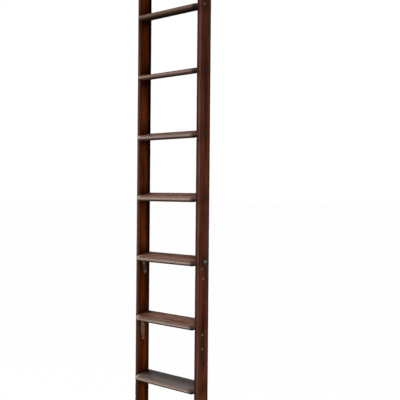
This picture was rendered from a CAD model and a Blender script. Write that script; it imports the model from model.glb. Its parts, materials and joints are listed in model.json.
# %% [markdown]
# # An old library ladder
#
# The ladder has two flat mahogany stiles, treads let into them at a pitch, tie rods under some treads and
# brass brackets under two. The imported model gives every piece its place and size. This script gives the
# wood its worn shapes, gives each material its finish, and sets up the light and the camera.

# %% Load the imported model
import json
import math

import bmesh
import bpy
from mathutils import Matrix, Vector


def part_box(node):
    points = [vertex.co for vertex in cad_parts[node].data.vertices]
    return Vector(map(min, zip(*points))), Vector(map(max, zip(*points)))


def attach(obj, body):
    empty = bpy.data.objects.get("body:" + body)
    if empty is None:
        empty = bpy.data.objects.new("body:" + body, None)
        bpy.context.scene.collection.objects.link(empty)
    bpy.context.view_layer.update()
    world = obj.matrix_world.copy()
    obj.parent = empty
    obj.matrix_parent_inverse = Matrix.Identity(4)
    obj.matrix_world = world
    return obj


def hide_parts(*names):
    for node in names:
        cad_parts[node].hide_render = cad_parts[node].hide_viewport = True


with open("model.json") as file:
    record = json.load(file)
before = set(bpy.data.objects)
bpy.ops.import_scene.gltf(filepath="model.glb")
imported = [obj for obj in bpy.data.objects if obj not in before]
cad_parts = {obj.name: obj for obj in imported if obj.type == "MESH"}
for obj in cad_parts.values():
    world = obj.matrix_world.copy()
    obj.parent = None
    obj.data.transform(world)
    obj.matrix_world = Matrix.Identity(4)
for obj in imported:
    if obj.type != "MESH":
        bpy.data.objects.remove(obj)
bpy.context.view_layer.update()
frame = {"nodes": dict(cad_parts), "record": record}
print("pieces in the model:", len(frame["nodes"]))

# %% [markdown]
# ## Measures
#
# A maker would take these off the ladder with a rule. Here they come from the boxes of the model's pieces
# and from the angle of its feet, so the worn pieces fit wherever the model's own pieces are. The few that
# no box shows, such as the thickness of a tread, are written as numbers.

# %% Measures of the stiles
right_low, right_high = (Vector(corner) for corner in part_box("stile_right"))
inner_x, outer_x = right_low.x, right_high.x
front_y, back_y = right_low.y, right_high.y
ladder_height = right_high.z
stile_depth = back_y - front_y
print("stile section:", outer_x - inner_x, stile_depth, "height:", ladder_height)

# %% Measures of the treads
mounts = {mount["name"]: mount for mount in frame["record"]["mounts"]}
lean = math.asin(mounts["foot_left"]["axis"][1])
tread_numbers = sorted(int(name[6:]) for name in frame["nodes"] if name.startswith("tread_"))
tread_boxes = {number: [Vector(c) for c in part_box(f"tread_{number}")] for number in tread_numbers}
rise = tread_boxes[2][1].z - tread_boxes[1][1].z
tread_end_x = tread_boxes[1][1].x
tread_back_y = tread_boxes[1][1].y
nosing_y = tread_boxes[1][0].y
tread_thickness = 0.025
tread_corner = 0.015
tread_back_arris = 0.002
nosing_radius = 0.0085
nosing_length = (front_y - nosing_y - nosing_radius * (1 - math.cos(lean) - math.sin(lean))) / math.cos(lean)
slope = math.tan(lean)
print("lean:", round(math.degrees(lean), 2), "rise:", round(rise, 4), "nosing:", round(nosing_length, 4))

# %% [markdown]
# ## Working by operators
#
# The wood is modelled as one would by hand: a block, cuts and bevels in edit mode, then modifiers. An
# operator acts on everything that is selected, so these helpers clear the selection first and pick edges by
# their place.

# %% Helpers for selecting and placing
hair = 1e-5  # places that are closer than this count as the same


def clear_selection():
    bpy.ops.object.select_all(action="DESELECT")


def select_only(piece):
    """Selects one piece and makes it the active one."""
    clear_selection()
    piece.select_set(True)
    bpy.context.view_layer.objects.active = piece


def settle():
    """Writes the selected piece's place, turn and size into its mesh."""
    bpy.ops.object.transform_apply(location=True, rotation=True, scale=True)


def block(name, low, high):
    """A plain board between two corners, with its place kept in its mesh."""
    clear_selection()
    low, high = Vector(low), Vector(high)
    bpy.ops.mesh.primitive_cube_add(size=1, location=(low + high) / 2)
    piece = bpy.context.object
    piece.name = piece.data.name = name
    piece.scale = high - low
    settle()
    return piece


# %% Helpers for edit mode
def work_on(piece):
    """Opens a piece in edit mode, with nothing in it selected."""
    select_only(piece)
    bpy.ops.object.mode_set(mode="EDIT")
    bpy.ops.mesh.select_all(action="DESELECT")


def done():
    bpy.ops.object.mode_set(mode="OBJECT")


def pick_edges(piece, test):
    """Selects the edges whose two ends pass the test, and returns how many there are."""
    bpy.ops.mesh.select_mode(type="EDGE")
    bpy.ops.mesh.select_all(action="DESELECT")
    mesh = bmesh.from_edit_mesh(piece.data)
    chosen = [edge for edge in mesh.edges if test(edge.verts[0].co, edge.verts[1].co)]
    for edge in chosen:
        edge.select_set(True)
    bmesh.update_edit_mesh(piece.data)
    return len(chosen)


def round_edges(piece, test, radius, segments):
    """Rounds over the edges that pass the test."""
    count = pick_edges(piece, test)
    bpy.ops.mesh.bevel(offset=radius, segments=segments, affect="EDGES", clamp_overlap=False)
    return count


def cut(point, normal, trim=False):
    """Scores the whole piece along a plane, or saws off what lies beyond it."""
    bpy.ops.mesh.select_all(action="SELECT")
    bpy.ops.mesh.bisect(plane_co=point, plane_no=normal, use_fill=trim, clear_outer=trim)


# %% Helpers for modifiers
def finish_modifier(piece, kind, **settings):
    """Adds a modifier to a piece, sets it and applies it."""
    select_only(piece)
    modifier = piece.modifiers.new(kind.title(), kind)
    for key, value in settings.items():
        setattr(modifier, key, value)
    bpy.ops.object.modifier_apply(modifier=modifier.name)


def copy_of(piece, name):
    """A copy with its own mesh."""
    twin = piece.copy()
    twin.data = piece.data.copy()
    twin.name = twin.data.name = name
    bpy.context.scene.collection.objects.link(twin)
    return twin


def carve(piece, cutter):
    """Cuts the cutter's shape out of the piece and throws the cutter away."""
    finish_modifier(piece, "BOOLEAN", operation="DIFFERENCE", object=cutter, solver="EXACT")
    bpy.data.objects.remove(cutter)


def join(pieces, name):
    clear_selection()
    for piece in pieces:
        piece.select_set(True)
    bpy.context.view_layer.objects.active = pieces[0]
    bpy.ops.object.join()
    pieces[0].name = pieces[0].data.name = name
    return pieces[0]


# %% [markdown]
# ## The treads
#
# Each tread is a board whose ends sit in the stiles. Its front edge is rounded over, and the rounding
# returns to the stiles at both corners. A sweep along the outline would do it too, but a bevel on a plain
# board is how the joiner's plane makes it: the plan's corners first, then the top and bottom edges. The
# board is made flat, with its top at height nought and the stiles' front at nought, and is pitched when it
# is put in.

# %% A plain tread
def plain_tread():
    sawn_long = 1.3 * stile_depth
    board = block(
        "tread_board", (-tread_end_x, -nosing_length, -tread_thickness), (tread_end_x, sawn_long, 0)
    )
    work_on(board)
    depth = tread_back_y - front_y
    plumb = Vector((0, math.cos(lean), -math.sin(lean)))
    cut((0, depth / math.cos(lean), 0), plumb, trim=True)
    corners = round_edges(
        board, lambda a, b: max(a.y, b.y) < hair - nosing_length and abs(a.x - b.x) < hair, tread_corner, 8
    )
    cut((0, 0, 0), (0, 1, 0))
    outline = round_edges(
        board,
        lambda a, b: max(a.y, b.y) < hair and abs(a.z - b.z) < hair and abs(a.y + b.y) > hair,
        nosing_radius,
        5,
    )
    back = round_edges(
        board,
        lambda a, b: min(a.y, b.y) > 0.8 * depth and abs(a.x - b.x) > tread_end_x,
        tread_back_arris,
        2,
    )
    done()
    print("tread corners, nosing edges, back edges:", corners, outline, back)
    return board


tread_board = plain_tread()
print("faces in a plain tread:", len(tread_board.data.polygons))

# %% [markdown]
# Feet wear a tread down most at the middle of its front edge, and not equally on all of them. The board is
# scored across and along so that it has points to move, and a Displace modifier lowers them by the weights
# of a vertex group. A second one, driven by a cloud pattern, gives the small dents of use.

# %% Score the board
work_on(tread_board)
scores_across, scores_along = 30, (-0.0085, 0.012, 0.026, 0.042)
for step in range(1, scores_across):
    cut(((2 * step / scores_across - 1) * tread_end_x, 0, 0), (1, 0, 0))
for place in scores_along:
    cut((0, place, 0), (0, 1, 0))
done()
print("faces after scoring:", len(tread_board.data.polygons))

# %% Wear by weight
dents = bpy.data.textures.new("dents", "CLOUDS")
dents.noise_scale = 0.03
dents.noise_depth = 3
dents_top = 0.85  # the pattern seldom passes this level, so the dents go inwards
tread_dents, stile_dents = 0.0009, 0.0007


def weigh(piece, name, weight):
    """Gives a piece a vertex group, with the weight that a function returns for each point."""
    group = piece.vertex_groups.new(name=name)
    for vertex in piece.data.vertices:
        group.add([vertex.index], max(0.0, min(1.0, weight(vertex.co))), "REPLACE")
    return group.name


def hollow(piece, centre, reach, depth):
    """Wears the front of a flat board down around a place along it."""
    def weight(point):
        across = math.exp(-(((point.x - centre) / reach) ** 2))
        from_front = max(0.0, 1 - (point.y + nosing_length) / (0.6 * stile_depth))
        upper = max(0.0, 1 + point.z / tread_thickness)
        return across * from_front * upper

    group = weigh(piece, "worn", weight)
    finish_modifier(piece, "DISPLACE", direction="Z", strength=-depth, mid_level=0, vertex_group=group)


def dent(piece, strength, weight):
    """Roughens a piece in place with shallow dents."""
    group = weigh(piece, "dented", weight)
    finish_modifier(
        piece,
        "DISPLACE",
        texture=dents,
        texture_coords="LOCAL",
        strength=strength,
        mid_level=dents_top,
        vertex_group=group,
    )


# %% Make and place the treads, the lowest first
wear_reach = 0.11
wear_depths = (0.0022, 0.0028, 0.0024, 0.0020, 0.0014, 0.0010, 0.0005, 0.0003, 0.0003)
wear_centres = (0.01, -0.03, 0.02, 0.0, -0.02, 0.03, 0.01, -0.01, 0.02)


def place_tread(piece, number):
    """Pitches a flat board and sets it at its height between the stiles."""
    piece.matrix_world = Matrix.Translation((0, front_y, number * rise)) @ Matrix.Rotation(lean, 4, "X")
    select_only(piece)
    settle()


def between_stiles(point):
    """1 over the open part of a tread, falling to 0 where it enters the stiles."""
    falling = 0.02
    return min(1.0, max(0.0, (inner_x - abs(point.x)) / falling))


treads = {}
for number in tread_numbers:
    piece = copy_of(tread_board, f"worn_tread_{number}")
    hollow(piece, wear_centres[number - 1], wear_reach, wear_depths[number - 1])
    place_tread(piece, number)
    dent(piece, tread_dents, between_stiles)
    treads[number] = piece
print("treads placed:", len(treads))

# %% [markdown]
# Six treads have a groove along the underside for a tie rod. The groove is cut as the joiner's plough would
# cut it, with a round-bottomed cutter, and the model's own rod lies in it.

# %% Plough the grooves
groove_radius = 0.0037
rod_numbers = sorted(int(name[8:]) for name in frame["nodes"] if name.startswith("tie_rod_"))


def rod_axis(number):
    """Y and Z of the middle line of a tread's tie rod."""
    low, high = (Vector(corner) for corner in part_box(f"tie_rod_{number}"))
    return (low.y + high.y) / 2, (low.z + high.z) / 2


def groove_cutter(number):
    """A long round bar with a slab under it, to cut a round-bottomed groove that is open below."""
    y, z = rod_axis(number)
    past_end = 1.5 * tread_end_x
    clear_selection()
    bpy.ops.mesh.primitive_cylinder_add(
        vertices=20,
        radius=groove_radius,
        depth=2 * past_end,
        location=(0, y, z),
        rotation=(0, math.pi / 2, 0),
    )
    bore = bpy.context.object
    settle()
    slot = block("slot", (-past_end, -groove_radius, -tread_thickness), (past_end, groove_radius, 0))
    slot.matrix_world = Matrix.Translation((0, y, z)) @ Matrix.Rotation(lean, 4, "X")
    finish_modifier(slot, "BOOLEAN", operation="UNION", object=bore, solver="EXACT")
    bpy.data.objects.remove(bore)
    return slot


for number in rod_numbers:
    carve(treads[number], groove_cutter(number))
print("grooves cut:", len(rod_numbers))

# %% [markdown]
# ## The stiles
#
# A stile is one long board: its head rounded, its foot sawn at the lean, and its long edges rubbed soft,
# the back ones more. It is scored across so that use can show on its edges, and then the housings for the
# treads are cut with the treads' own shape, as a joiner scribes a joint to the board that goes in it.

# %% A plain stile
front_arris, back_arris, head_corner = 0.0016, 0.003, 0.022


def arris_share(height, depth):
    """The share of the back arris's width that an edge gets: less in front, and in between round the head."""
    along = (depth - front_y) / stile_depth
    share = front_arris / back_arris
    if height > ladder_height - head_corner:
        return share + (1 - share) * along
    return 1.0 if along > 0.5 else share


def plain_stile():
    """The right stile with its head, foot and arrises, before the joints are cut."""
    stile = block("stile_board", (inner_x, front_y, 0), (outer_x, back_y, ladder_height))
    work_on(stile)
    cut((0, front_y, 0), (0, math.sin(lean), -math.cos(lean)), trim=True)
    round_edges(
        stile, lambda a, b: min(a.z, b.z) > ladder_height - hair and abs(a.y - b.y) < hair, head_corner, 8
    )
    done()
    weights = stile.data.attributes.new("bevel_weight_edge", "FLOAT", "EDGE")
    for edge in stile.data.edges:
        a, b = (stile.data.vertices[index].co for index in edge.vertices)
        at_foot = max(a.z, b.z) < 0.5 * stile_depth
        if abs(a.x - b.x) < hair and not at_foot:
            weights.data[edge.index].value = arris_share((a.z + b.z) / 2, (a.y + b.y) / 2)
    finish_modifier(
        stile,
        "BEVEL",
        width=back_arris,
        segments=4,
        limit_method="WEIGHT",
        use_clamp_overlap=False,
    )
    return stile


stile_board = plain_stile()
print("faces in a plain stile:", len(stile_board.data.polygons))

# %% Score the stile and mirror it
scores_up = 110
work_on(stile_board)
for step in range(1, scores_up):
    cut((0, 0, step / scores_up * ladder_height), (0, 0, 1))
done()
stiles = {"right": copy_of(stile_board, "worn_stile_right"), "left": stile_board}
stile_board.name = stile_board.data.name = "worn_stile_left"
select_only(stile_board)
stile_board.scale.x = -1
settle()
work_on(stile_board)
bpy.ops.mesh.select_all(action="SELECT")
bpy.ops.mesh.normals_make_consistent(inside=False)
done()
print("stiles:", len(stiles), "faces in each:", len(stile_board.data.polygons))

# %% [markdown]
# Knocks and carrying have dented the edges of the stiles, and here and there a splinter has come away. The
# dents come from the same cloud pattern as the treads', weighted to the edges alone. Each splinter is a
# shallow scoop, cut with a ball pulled long, at a height chosen by hand.

# %% Dents along the edges
def near_an_edge(point):
    """1 on the front and back faces, round the long edges and on a strip beside them, and 0 elsewhere."""
    skin, strip = 0.0004, 2 * back_arris
    across = min(abs(point.x) - inner_x, outer_x - abs(point.x))
    along = min(point.y - front_y, back_y - point.y)
    on_rounding = max(across, along) < back_arris
    on_face = min(across, along) < skin and along < strip
    return 1.0 if on_rounding or on_face else 0.0


for stile in stiles.values():
    dent(stile, stile_dents, near_an_edge)

# %% Splinters: the side, X, Y and height of the middle, and the length
splinter_radius = 0.0028
splinters = (
    ("right", outer_x, back_y, 1.242, 0.012),
    ("right", outer_x, back_y, 0.655, 0.020),
    ("right", inner_x, front_y, 1.655, 0.018),
    ("right", outer_x, front_y, 0.905, 0.022),
    ("left", -outer_x, front_y, 0.452, 0.016),
    ("left", -outer_x, front_y, 0.520, 0.012),
    ("left", -inner_x, back_y, 1.770, 0.014),
    ("left", -outer_x, back_y, 0.230, 0.024),
)


def scoop(x, y, z, length):
    clear_selection()
    bpy.ops.mesh.primitive_uv_sphere_add(segments=16, ring_count=10, radius=1, location=(x, y, z))
    ball = bpy.context.object
    ball.scale = (splinter_radius, splinter_radius, length / 2)
    settle()
    return ball


for side, x, y, z, length in splinters:
    carve(stiles[side], scoop(x, y, z, length))
print("splinters:", len(splinters))

# %% Cutters for the housings and the rods' recesses
recess_radius, recess_depth = 0.008, 0.0045


def joint_cutter():
    """The plain treads, all in place, as one solid to cut the housings with."""
    boards = []
    for number in tread_numbers:
        board = copy_of(tread_board, f"cutter_{number}")
        place_tread(board, number)
        boards.append(board)
    return join(boards, "joint_cutter")


def recess_cutter():
    """Cylinders for the recesses of the tie rods that end below the surface, on both sides."""
    bores = []
    for number in rod_numbers:
        end_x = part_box(f"tie_rod_{number}")[1][0]
        if end_x > outer_x + 0.001:
            continue
        y, z = rod_axis(number)
        for side in (-1, 1):
            clear_selection()
            bpy.ops.mesh.primitive_cylinder_add(
                vertices=32,
                radius=recess_radius,
                depth=2 * recess_depth,
                location=(side * outer_x, y, z),
                rotation=(0, math.pi / 2, 0),
            )
            settle()
            bores.append(bpy.context.object)
    return join(bores, "recess_cutter")


# %% Housings, scribed to the treads
for stile in stiles.values():
    carve(stile, joint_cutter())
    carve(stile, recess_cutter())
bpy.data.objects.remove(tread_board)
for name, stile in stiles.items():
    print(name, "stile faces:", len(stile.data.polygons))

# %% Stand the worn pieces for the model's own
for name, stile in stiles.items():
    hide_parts(f"stile_{name}")
for number, piece in treads.items():
    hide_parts(f"tread_{number}")
crease_angle = math.radians(35)
wooden = list(stiles.values()) + list(treads.values())
for piece in wooden:
    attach(piece, "root")
    piece.vertex_groups.clear()
    select_only(piece)
    bpy.ops.object.shade_smooth_by_angle(angle=crease_angle)
print("pieces of wood:", len(wooden))

# %% [markdown]
# ## Writing finishes as sums
#
# A finish is a sum of patterns. With this class a Python expression on a socket adds the Math nodes for it,
# so a finish reads as arithmetic. Every other kind of node is made by the one method `node`.

# %% A finish and its values
class Value:
    """A number that varies over a surface. Arithmetic on it adds Math nodes."""

    def __init__(self, finish, socket):
        self.finish, self.socket = finish, socket

    def reckon(self, operation, first, second):
        node = self.finish.node("Math", {0: first, 1: second}, operation=operation)
        return Value(self.finish, node.outputs[0])

    def __add__(self, other):
        return self.reckon("ADD", self, other)

    def __radd__(self, other):
        return self.reckon("ADD", other, self)

    def __sub__(self, other):
        return self.reckon("SUBTRACT", self, other)

    def __rsub__(self, other):
        return self.reckon("SUBTRACT", other, self)

    def __mul__(self, other):
        return self.reckon("MULTIPLY", self, other)

    def __rmul__(self, other):
        return self.reckon("MULTIPLY", other, self)

    def __abs__(self):
        return self.reckon("ABSOLUTE", self, 0)

    def under(self, ceiling):
        return self.reckon("MINIMUM", self, ceiling)

    def wrapped(self, length):
        return self.reckon("FLOORED_MODULO", self, length)

    def root(self):
        return self.reckon("SQRT", self, 0)


class Finish:
    """A material under construction."""

    def __init__(self, name):
        self.material = bpy.data.materials.new(name)
        self.material.use_nodes = True
        self.tree = self.material.node_tree
        self.tree.nodes.clear()

    def node(self, kind, inputs, stops=None, **settings):
        """Adds a node: its settings first, then the values or links of its sockets."""
        node = self.tree.nodes.new("ShaderNode" + kind)
        for key, value in settings.items():
            setattr(node, key, value)
        if stops:
            ramp = node.color_ramp
            for place, tone in stops[1:-1]:
                ramp.elements.new(place)
            for element, (place, tone) in zip(ramp.elements, stops):
                element.position, element.color = place, (*tone, 1)
        for key, value in inputs.items():
            value = getattr(value, "socket", value)
            if isinstance(value, bpy.types.NodeSocket):
                self.tree.links.new(value, node.inputs[key])
            else:
                node.inputs[key].default_value = value
        return node

    def fade(self, value, start, end):
        """0 before start and 1 after end, with a smooth step between."""
        node = self.node("MapRange", {0: value, 1: start, 2: end}, interpolation_type="SMOOTHSTEP")
        return Value(self, node.outputs[0])

    def grain(self, scale, detail=3.0, rough=0.55, shift=0.0):
        """Noise on the piece's own coordinates, stretched by a scale along each axis."""
        place = self.node("Mapping", {0: self.place, 1: (shift, shift, shift), 3: scale})
        settings = {"Vector": place.outputs[0], "Scale": 1, "Detail": detail, "Roughness": rough}
        return Value(self, self.node("TexNoise", settings).outputs[0])

    def mix(self, share, first, second):
        """Two colours mixed by a share."""
        colours = [(*c, 1) if isinstance(c, tuple) else c for c in (first, second)]
        node = self.node("Mix", {0: share, 6: colours[0], 7: colours[1]}, data_type="RGBA")
        return node.outputs[2]

    def read_place(self):
        """Object coordinates, and the three of them apart."""
        self.place = self.node("TexCoord", {}).outputs["Object"]
        apart = self.node("SeparateXYZ", {0: self.place})
        self.x, self.y, self.z = (Value(self, socket) for socket in apart.outputs)
        facing = self.node("SeparateXYZ", {0: self.node("NewGeometry", {}).outputs["Normal"]})
        self.face_x, self.face_y, self.face_z = (Value(self, socket) for socket in facing.outputs)

    def close(self, colour, roughness, height, bump, bump_distance, **others):
        """Ends the finish in a Principled shader, with a bump from a height and others by socket name."""
        bumped = self.node("Bump", {"Strength": bump, "Distance": bump_distance, "Height": height})
        inputs = {"Base Color": colour, "Roughness": roughness, "Normal": bumped.outputs[0]}
        inputs.update({key.replace("_", " "): value for key, value in others.items()})
        shader = self.node("BsdfPrincipled", inputs)
        self.node("OutputMaterial", {0: shader.outputs[0]})
        return self.material


print("finish helpers ready")

# %% [markdown]
# ## Old waxed mahogany
#
# The wood is a dark red-brown with long streaks, fine open pores and a wax polish that has been handled for
# a century. The same recipe serves stiles and treads; what changes is the direction of the grain and where
# the wear and the dirt lie. Streaks are noise pulled long along the grain, and a colour ramp turns them
# into tones. A tone is the share of red, green and blue light that the wood gives back, so dark wood has
# small numbers.

# %% The recipe for mahogany
streaks_a_metre, pores_a_metre = 60, 620


def streaks(finish, along):
    """Broad streaks, fine streaks and pores, with the grain along one axis: 0 for X, 2 for Z."""
    def stretched(long, short):
        return tuple(long if axis == along else short for axis in range(3))

    broad = finish.grain(stretched(1.3, streaks_a_metre), detail=3, rough=0.6)
    fine = finish.grain(stretched(6, streaks_a_metre * 5), detail=4, rough=0.65, shift=3.1)
    open_grain = finish.grain(stretched(22, pores_a_metre), detail=2, rough=0.5, shift=7.7)
    pores = finish.fade(open_grain, 0.60, 0.72)
    return broad, fine, pores


def mahogany_tone(finish, broad, fine, tones, contrast):
    """Colour of the bare wood, from dark streaks through the middle tone to light ones."""
    share = (broad * 0.6 + fine * 0.4 - 0.5) * contrast + 0.5
    dark, middle, light = tones
    ramp = finish.node("ValToRGB", {0: share}, stops=[(0.10, dark), (0.46, middle), (0.88, light)])
    return ramp.outputs[0]


# %% Places measured from the treads
def below_top(finish):
    """Plumb depth below a tread's top surface, for a point in a tread."""
    margin = 0.05
    return ((finish.y - front_y) * slope - finish.z + margin).wrapped(rise) - margin


def above_tread(finish):
    """Height above the middle of the tread below, measured along the slope of the housings."""
    return (finish.z - (finish.y - front_y) * slope + tread_thickness / 2).wrapped(rise)


# %% [markdown]
# ### The stiles
#
# The bare wood comes first, and then what has changed it over the years, each as a mask and a tone mixed
# over the wood so far: cloudy and warm patches in the polish, grime in the corners over and under each
# tread, stains round the ironwork, the faded skin of the front, the rubbed arrises and the black band along
# the back. One picture painted for each face would do it too, but masks that are sums of places need no
# unwrapping, and each can be changed without painting the rest again.

# %% Tones of dirt and wear
grime_tone = (0.013, 0.005, 0.003)
stain_tone = (0.022, 0.017, 0.007)
shaded_skin_tone, grey_skin_tone = (0.030, 0.012, 0.008), (0.130, 0.098, 0.088)
arris_tone = (0.150, 0.088, 0.070)
back_tone = (0.004, 0.001, 0.001)
stile_pore_tone = (0.008, 0.003, 0.002)


# %% Wood with its patches
def patched_wood(finish, broad, fine, cloudy, tones, cloud_tone):
    """The stiles' wood, with dull clouds and with light patches that spread towards the floor."""
    warm = finish.grain((45, 45, 3.5), detail=3, rough=0.55, shift=9.2)
    wood = mahogany_tone(finish, broad, fine, tones, contrast=3.2)
    wood = finish.mix(finish.fade(cloudy, 0.44, 0.62) * 0.8, wood, cloud_tone)
    lower = finish.fade(finish.z, 2.2, 0.4)
    lowest = finish.fade(finish.z, 0.95, 0.45)
    return finish.mix(finish.fade(warm, 0.42, 0.60) * (0.30 + lower * 0.40 + lowest * 0.30), wood, tones[2])


# %% Grime in the corners
def corner_grime(finish, ragged):
    """How dirty the wood is just above and just below a tread. The foot stays clean."""
    up = above_tread(finish) + ragged
    near_top = finish.fade(up, 0.085, 0.010) * 0.75 + finish.fade(up, 0.030, 0.012) * 0.25
    beneath = finish.fade(up, rise - 0.050, rise - 0.012)
    standing = finish.fade(finish.z, rise * 0.5, rise * 0.6)
    return (near_top + beneath).under(1) * standing


# %% Stains round the ironwork
def stains(finish, spots, blur):
    """How dark the spots make the outer face. A spot is its y, z, half width, half height and strength."""
    total = 0
    for y, z, wide, high, strength in spots:
        across = (finish.y - y + blur) * (1 / wide)
        along = (finish.z - z + blur * 2) * (1 / high)
        away = (across * across + along * along).root()
        total = finish.fade(away, 1.25, 0.35) * strength + total
    return total.under(1)


# %% The skin of the front
def front_skin(finish, fine, outward, dark_tone, front_tone, greyness, darkness):
    """Colour of the front edge: worn light outwards, grey at hand height and dark near the head."""
    speckle = finish.grain((220, 220, 120), detail=3, rough=0.6, shift=4.4)
    skin = finish.mix(outward * (0.35 + 0.9 * fine).under(1), shaded_skin_tone, front_tone)
    hand_height = 1.52
    faded = finish.fade(abs(finish.z - hand_height), 0.75, 0.35) * outward * finish.fade(speckle, 0.35, 0.65)
    skin = finish.mix(faded * greyness, skin, grey_skin_tone)
    return finish.mix(finish.fade(finish.z, 1.95, 2.30) * darkness, skin, dark_tone)


# %% Rubbed arrises
def rubbed_arrises(finish, fine):
    """How far the polish has gone from the long edges, most at the front."""
    middle_x, middle_y = (inner_x + outer_x) / 2, (front_y + back_y) / 2
    half_x, half_y = (outer_x - inner_x) / 2, stile_depth / 2
    rim_x = finish.fade(abs(abs(finish.x) - middle_x), half_x - 0.0026, half_x - 0.0008)
    rim_y = finish.fade(abs(finish.y - middle_y), half_y - 0.0026, half_y - 0.0008)
    forward = finish.fade(finish.y, back_y - 0.01, front_y + 0.01)
    return rim_x * rim_y * forward * finish.fade(fine, 0.38, 0.60)


# %% The stiles' finish
def stile_finish(
    name, tones, cloud_tone, front_tone, greyness, darkness, low_band, high_band, low_black, spots
):
    """Mahogany for one stile. The band at its back is low_band wide below and high_band wide above."""
    finish = Finish(name)
    finish.read_place()
    broad, fine, pores = streaks(finish, 2)
    cloudy = finish.grain((20, 20, 6), detail=4, rough=0.6, shift=1.7)
    ragged = (cloudy - 0.5) * 0.06
    inner = finish.fade(abs(finish.x), inner_x + 0.002, inner_x + 0.0005)
    outward = finish.fade(abs(finish.x), inner_x + 0.004, outer_x - 0.005)
    front = finish.fade(finish.face_y, -0.5, -0.9)
    near_front = finish.fade(finish.y, front_y + 0.016, front_y + 0.004)

    wood = patched_wood(finish, broad, fine, cloudy, tones, cloud_tone)
    corner = corner_grime(finish, ragged)
    wood = finish.mix(corner * (0.30 + inner * 0.55), wood, grime_tone)
    wood = finish.mix(inner * near_front * 0.6, wood, tones[0])
    wood = finish.mix(stains(finish, spots, ragged * 0.12) * (1 - inner) * 0.85, wood, stain_tone)
    skin = front_skin(finish, fine, outward, tones[0], front_tone, greyness, darkness)
    wood = finish.mix(front * 0.85, wood, skin)
    rubbed = rubbed_arrises(finish, fine)
    wood = finish.mix(rubbed * (0.15 + 0.45 * outward), wood, arris_tone)

    band = low_band + finish.fade(finish.z, 0.5, 2.4) * (high_band - low_band)
    rear = finish.y - (back_y - band)
    wood = finish.mix(finish.fade(rear, -0.018, 0.004) * inner * 0.5, wood, tones[0])
    wood = finish.mix(finish.fade(abs(rear + 0.003), 0.004, 0.001) * (1 - inner) * 0.35, wood, tones[2])
    grimy = finish.fade(rear, 0, 0.004) * (1 - front)
    blackness = low_black + finish.fade(finish.z, 0.85, 1.35) * (0.98 - low_black)
    wood = finish.mix(grimy * blackness, wood, back_tone)
    wood = finish.mix(pores * 0.5, wood, stile_pore_tone)

    sheen = finish.fade(cloudy, 0.62, 0.40)
    polish = 0.045 - inner * 0.03 + front * outward * (0.05 + 0.10 * sheen) + rubbed * 0.2
    return finish.close(
        wood,
        roughness=0.42 + cloudy * 0.2,
        height=fine * 0.4 - pores * 0.8,
        bump=0.25,
        bump_distance=0.0006,
        Specular_IOR_Level=0.0,
        Coat_Weight=polish * (1 - grimy) * (1 - corner),
        Coat_Roughness=0.32,
    )


# %% [markdown]
# ### The treads
#
# A tread is worn on top, dusty in patches and dirtier near the stiles and the back. The lowest treads are
# grey from shoes. Along the middle of each nosing runs a line that feet and hands have worn pale, with the
# dark undercut below it. The line fades on the high treads, which are less stood on. It could be painted
# with a vertex group, but a mask on the depth below the tread's top is sharper than the points of the mesh.

# %% Tones of the treads
tread_tones = ((0.034, 0.012, 0.007), (0.085, 0.032, 0.018), (0.170, 0.078, 0.052))
dust_tone = (0.175, 0.100, 0.076)
shoe_dirt_front, shoe_dirt_back = (0.092, 0.075, 0.070), (0.020, 0.013, 0.010)
high_tread_tone = (0.052, 0.036, 0.020)
tread_grime_tone = (0.012, 0.006, 0.005)
high_nosing_tone, low_nosing_tone = (0.055, 0.024, 0.015), (0.100, 0.052, 0.036)
seam_tone = (0.030, 0.013, 0.009)
worn_tone = (0.300, 0.225, 0.185)
undercut_tone = (0.030, 0.015, 0.011)
nosing_end_tone = (0.012, 0.007, 0.005)
underside_tone = (0.009, 0.004, 0.003)
tread_pore_tone = (0.012, 0.006, 0.004)


# %% Dust and dirt on top
def dusty_top(finish, wood, top, low):
    """The tread's colour with its dust and dirt, and the mask of the dust."""
    scuffed = finish.grain((8, 90, 90), detail=5, rough=0.7, shift=5.3)
    patchy = finish.grain((9, 30, 30), detail=3, rough=0.6, shift=8.1)
    dust = top * (0.15 + 0.75 * finish.fade(scuffed, 0.38, 0.62)) * finish.fade(patchy, 0.30, 0.60)
    wood = finish.mix(dust, wood, dust_tone)
    towards_back = finish.fade(finish.y, front_y - 0.010, back_y - 0.020)
    shoe_dirt = finish.mix(towards_back, shoe_dirt_front, shoe_dirt_back)
    wood = finish.mix(low * finish.fade(finish.face_z, 0.0, 0.5) * 0.90, wood, shoe_dirt)
    wood = finish.mix(finish.fade(finish.z, 1.80, 2.10) * 0.4, wood, high_tread_tone)
    end = finish.fade(abs(finish.x), inner_x - 0.060, inner_x - 0.004)
    rear = finish.fade(finish.y, back_y - 0.014, back_y - 0.003)
    corner = end * finish.fade(finish.y, front_y - 0.005, back_y - 0.015)
    wood = finish.mix((corner + rear * 0.9).under(1) * top * 0.8, wood, tread_grime_tone)
    return wood, dust


# %% The worn line of the nosing
def worn_line(finish, fine, sunk, handled, below_eye):
    """How worn the nosing is: along its middle, and round its left end."""
    middle = finish.fade(abs(sunk - (0.0105 + 0.001 * below_eye)), 0.0068 - 0.001 * below_eye, 0.0024)
    left_end = finish.fade(finish.x, -0.158, -0.172) * finish.fade(sunk, 0.017, 0.013)
    return (middle * finish.fade(fine, 0.24, 0.50) + left_end).under(1) * handled


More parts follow.
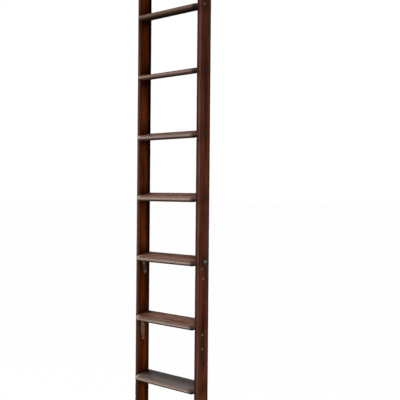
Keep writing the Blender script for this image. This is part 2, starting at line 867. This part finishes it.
# %% The treads' finish
def tread_finish():
    finish = Finish("mahogany_tread")
    finish.read_place()
    broad, fine, pores = streaks(finish, 0)
    below_eye = finish.fade(finish.z, 1.55, 1.15)
    low = finish.fade(finish.z, 0.75, 0.60)
    top = finish.fade(finish.face_z, 0.55, 0.93)
    wood = mahogany_tone(finish, broad, fine, tread_tones, contrast=3.4)
    wood, dust = dusty_top(finish, wood, top, low)

    nosing = finish.fade(finish.y, front_y + 0.001, front_y - 0.005)
    face = nosing * finish.fade(abs(finish.face_z), 0.75, 0.35)
    wood = finish.mix(face * 0.6, wood, finish.mix(below_eye, high_nosing_tone, low_nosing_tone))
    seam = nosing * finish.fade(abs(finish.face_z - 0.90), 0.09, 0.03) * below_eye
    wood = finish.mix(seam * 0.35, wood, seam_tone)
    sunk = below_top(finish)
    handled = 1 - 0.8 * finish.fade(finish.z, 1.45, 2.30)
    worn = nosing * worn_line(finish, fine, sunk, handled, below_eye)
    wood = finish.mix(worn * 0.85, wood, worn_tone)
    undercut = nosing * finish.fade(sunk - 0.0035 * below_eye, 0.0120, 0.0155)
    wood = finish.mix(undercut * 0.85, wood, undercut_tone)
    dark_end = nosing * finish.fade(finish.x, 0.150, 0.178) * (0.4 + 0.6 * finish.fade(sunk, 0.003, 0.011))
    wood = finish.mix(dark_end * 0.9, wood, nosing_end_tone)
    beneath = finish.fade(finish.face_z, -0.60, -0.90)
    wood = finish.mix(beneath * 0.85, wood, underside_tone)
    wood = finish.mix(pores * 0.5, wood, tread_pore_tone)

    polish = 0.04 + worn * 0.4 + nosing * handled * 0.12 + top * low * 0.2
    return finish.close(
        wood,
        roughness=0.42 + dust * 0.2 - worn * 0.1,
        height=fine * 0.5 - pores * 0.8,
        bump=0.3,
        bump_distance=0.0006,
        Specular_IOR_Level=0.0,
        Coat_Weight=polish * (1 - beneath) * (1 - dark_end * 0.8),
        Coat_Roughness=0.26,
    )


# %% How the two stiles differ
stile_looks = {
    "right": {
        "tones": ((0.022, 0.005, 0.003), (0.052, 0.0115, 0.005), (0.098, 0.027, 0.013)),
        "cloud_tone": (0.030, 0.010, 0.009),
        "front_tone": (0.090, 0.032, 0.023),
        "greyness": 0.2,
        "darkness": 0,
        "low_band": 0.006,
        "high_band": 0.010,
        "low_black": 0.60,
        "spots": (
            (0.009, 0.778, 0.010, 0.036, 0.8),
            (-0.004, 0.735, 0.010, 0.042, 0.7),
            (0.012, 0.554, 0.012, 0.036, 0.8),
            (0.010, 1.100, 0.017, 0.046, 1.0),
            (0.013, 1.385, 0.012, 0.022, 0.8),
            (0.014, 1.668, 0.012, 0.028, 1.0),
            (0.014, 1.950, 0.011, 0.018, 1.0),
            (-0.004, 2.240, 0.014, 0.030, 0.6),
        ),
    },
    "left": {
        "tones": ((0.022, 0.004, 0.001), (0.068, 0.010, 0.0018), (0.150, 0.032, 0.006)),
        "cloud_tone": (0.024, 0.005, 0.0012),
        "front_tone": (0.058, 0.025, 0.017),
        "greyness": 0.6,
        "darkness": 0.9,
        "low_band": 0.014,
        "high_band": 0.021,
        "low_black": 0.50,
        "spots": (
            (0.013, 1.105, 0.016, 0.030, 0.9),
            (0.014, 1.390, 0.011, 0.024, 0.8),
            (0.013, 1.668, 0.012, 0.020, 0.8),
            (0.015, 1.948, 0.010, 0.026, 0.9),
        ),
    },
}


# %% Give the wood its finish
def paint(piece, material):
    piece.data.materials.clear()
    piece.data.materials.append(material)


for name, stile in stiles.items():
    paint(stile, stile_finish(f"mahogany_{name}", **stile_looks[name]))
tread_wood = tread_finish()
for piece in treads.values():
    paint(piece, tread_wood)
print("wood finished")

# %% [markdown]
# ## Metal
#
# The brackets are brass gone brown, bright only where hands rub them. The rods, washers and the old screws
# are iron, nearly black in the hollows, with a dull shine on the hammered ends. A picture of tarnish would
# do it too, but noise on the piece's own coordinates gives every rivet marks of its own, with no seam.

# %% Metal finishes
def metal_finish(name, tarnish, bright, metallic, rough, patches_a_metre, worn_low=0.42, worn_high=0.62):
    """Tarnished metal that is rubbed bright in patches, with finer scratches and pits in it."""
    finish = Finish(name)
    finish.read_place()
    patches = finish.grain((patches_a_metre,) * 3, detail=5, rough=0.65)
    scratch_scale = (patches_a_metre * 6, patches_a_metre * 6, patches_a_metre * 0.4)
    brushed = finish.grain(scratch_scale, detail=3, rough=0.6, shift=5.5)
    pits = finish.grain((900, 900, 900), detail=2, rough=0.5, shift=2.3)
    rubbed = finish.fade(patches * 0.6 + brushed * 0.4, worn_low, worn_high)
    colour = finish.mix(rubbed, tarnish, bright)
    roughness = rough + (1 - rubbed) * 0.2
    return finish.close(
        colour,
        roughness,
        height=pits,
        bump=0.25,
        bump_distance=0.0003,
        Metallic=metallic,
        Specular_IOR_Level=0.3,
    )


metals = {
    "bracket_3": metal_finish("aged_brass", (0.080, 0.048, 0.020), (0.230, 0.140, 0.060), 0.45, 0.42, 60),
    "bracket_4": metal_finish("brown_brass", (0.030, 0.014, 0.008), (0.120, 0.062, 0.036), 0.45, 0.45, 60),
    "rivets": metal_finish("rivet_brass", (0.130, 0.085, 0.050), (0.300, 0.220, 0.150), 0.7, 0.38, 240),
    "shelf_screws": metal_finish("screw_brass", (0.080, 0.048, 0.022), (0.220, 0.140, 0.070), 0.7, 0.38, 240),
    "tie_rod": metal_finish(
        "rod_iron", (0.014, 0.013, 0.010), (0.085, 0.080, 0.068), 0.5, 0.45, 300, 0.48, 0.66
    ),
    "tie_rod_4": metal_finish("rubbed_iron", (0.130, 0.122, 0.110), (0.340, 0.330, 0.305), 0.6, 0.36, 260),
    "washers": metal_finish("black_iron", (0.008, 0.008, 0.007), (0.034, 0.033, 0.028), 0.5, 0.45, 160),
    "end_screws": metal_finish("screw_steel", (0.030, 0.025, 0.020), (0.180, 0.160, 0.140), 0.6, 0.40, 260),
}

# %% Give the metal its finish
for name, node in frame["nodes"].items():
    starts = [start for start in metals if name.startswith(start)]
    if starts:
        paint(node, metals[max(starts, key=len)])
print("metal finished")

# %% [markdown]
# ## Room, light and camera
#
# The ladder stands in a plain white studio. A big soft lamp on the climber's left gives the noses of the
# treads their shine, one in front fills in the front edges, and one on the right opens up the outer faces
# of the stiles. The white all round is only for what looks at it: the camera, and the reflections in metal
# and polish. What lights the dull parts of the wood is a dimmer room, or they would look washed out.

# %% The white room
def white_share(finish):
    """1 for the rays that should see plain white: the camera's, and those in reflections and glass."""
    path = finish.node("LightPath", {})
    camera, glossy, clear = (
        Value(finish, path.outputs[key]) for key in ("Is Camera Ray", "Is Glossy Ray", "Is Transmission Ray")
    )
    return (camera + glossy + clear).under(1)


world = bpy.data.worlds.new("studio")
bpy.context.scene.world = world
world.use_nodes = True
room = Finish("room")
bpy.data.materials.remove(room.material)
room.tree = world.node_tree
room.tree.nodes.clear()
room_light = 0.36
room_level = room_light + (1 - room_light) * white_share(room)
glow = room.node("Background", {"Color": (1, 1, 1, 1), "Strength": room_level})
room.node("OutputWorld", {0: glow.outputs[0]})

# %% The floor, nearly white to the camera, with the ladder's shadow faint on it
floor_white = 0.98
clear_selection()
bpy.ops.mesh.primitive_plane_add(size=200, location=(0, 0, -0.0005))
floor = bpy.context.object
floor.name = floor.data.name = "studio_floor"
pale = Finish("studio_floor")
matt = pale.node("BsdfDiffuse", {"Color": (0.82, 0.82, 0.82, 1)})
white = pale.node("Emission", {"Color": (1, 1, 1, 1), "Strength": 1.0})
shown = pale.node("MixShader", {0: white_share(pale) * floor_white, 1: matt.outputs[0], 2: white.outputs[0]})
pale.node("OutputMaterial", {0: shown.outputs[0]})
paint(floor, pale.material)


# %% Lamps: place, height of the aim, width and power
def lamp(name, place, aim_height, size, power, in_reflections):
    """A square soft lamp that looks at the middle of the ladder, at a height."""
    light = bpy.data.lights.new(name, "AREA")
    light.shape, light.size, light.energy = "SQUARE", size, power
    holder = bpy.data.objects.new(name, light)
    holder.matrix_world = Matrix.Translation(place) @ (
        (Vector((0, 0, aim_height)) - Vector(place)).to_track_quat("-Z", "Y").to_matrix().to_4x4()
    )
    holder.visible_glossy = in_reflections
    bpy.context.scene.collection.objects.link(holder)


lamp("key_lamp", (-3.4, -1.7, 4.3), 1.3, 2.2, 170, in_reflections=True)
lamp("front_lamp", (-1.3, -4.3, 2.5), 1.3, 2.4, 95, in_reflections=False)
lamp("side_lamp", (3.7, -0.8, 3.4), 1.2, 2.4, 115, in_reflections=False)

# %% The camera, at eye height on the climber's right
eye = Vector((2.3895, -2.3859, 1.4145))
turn, nod, tip = math.radians(42.76), math.radians(-0.56), math.radians(0.51)
lens = bpy.data.cameras.new("eye")
lens.sensor_width, lens.lens = 36, 66.78
lens.clip_end = 100
camera = bpy.data.objects.new("eye", lens)
camera.matrix_world = (
    Matrix.Translation(eye)
    @ Matrix.Rotation(turn, 4, "Z")
    @ Matrix.Rotation(math.pi / 2 + nod, 4, "X")
    @ Matrix.Rotation(tip, 4, "Z")
)
bpy.context.scene.collection.objects.link(camera)
bpy.context.scene.camera = camera
bpy.context.scene.view_settings.view_transform = "Standard"
print("eye at:", [round(place, 3) for place in eye])
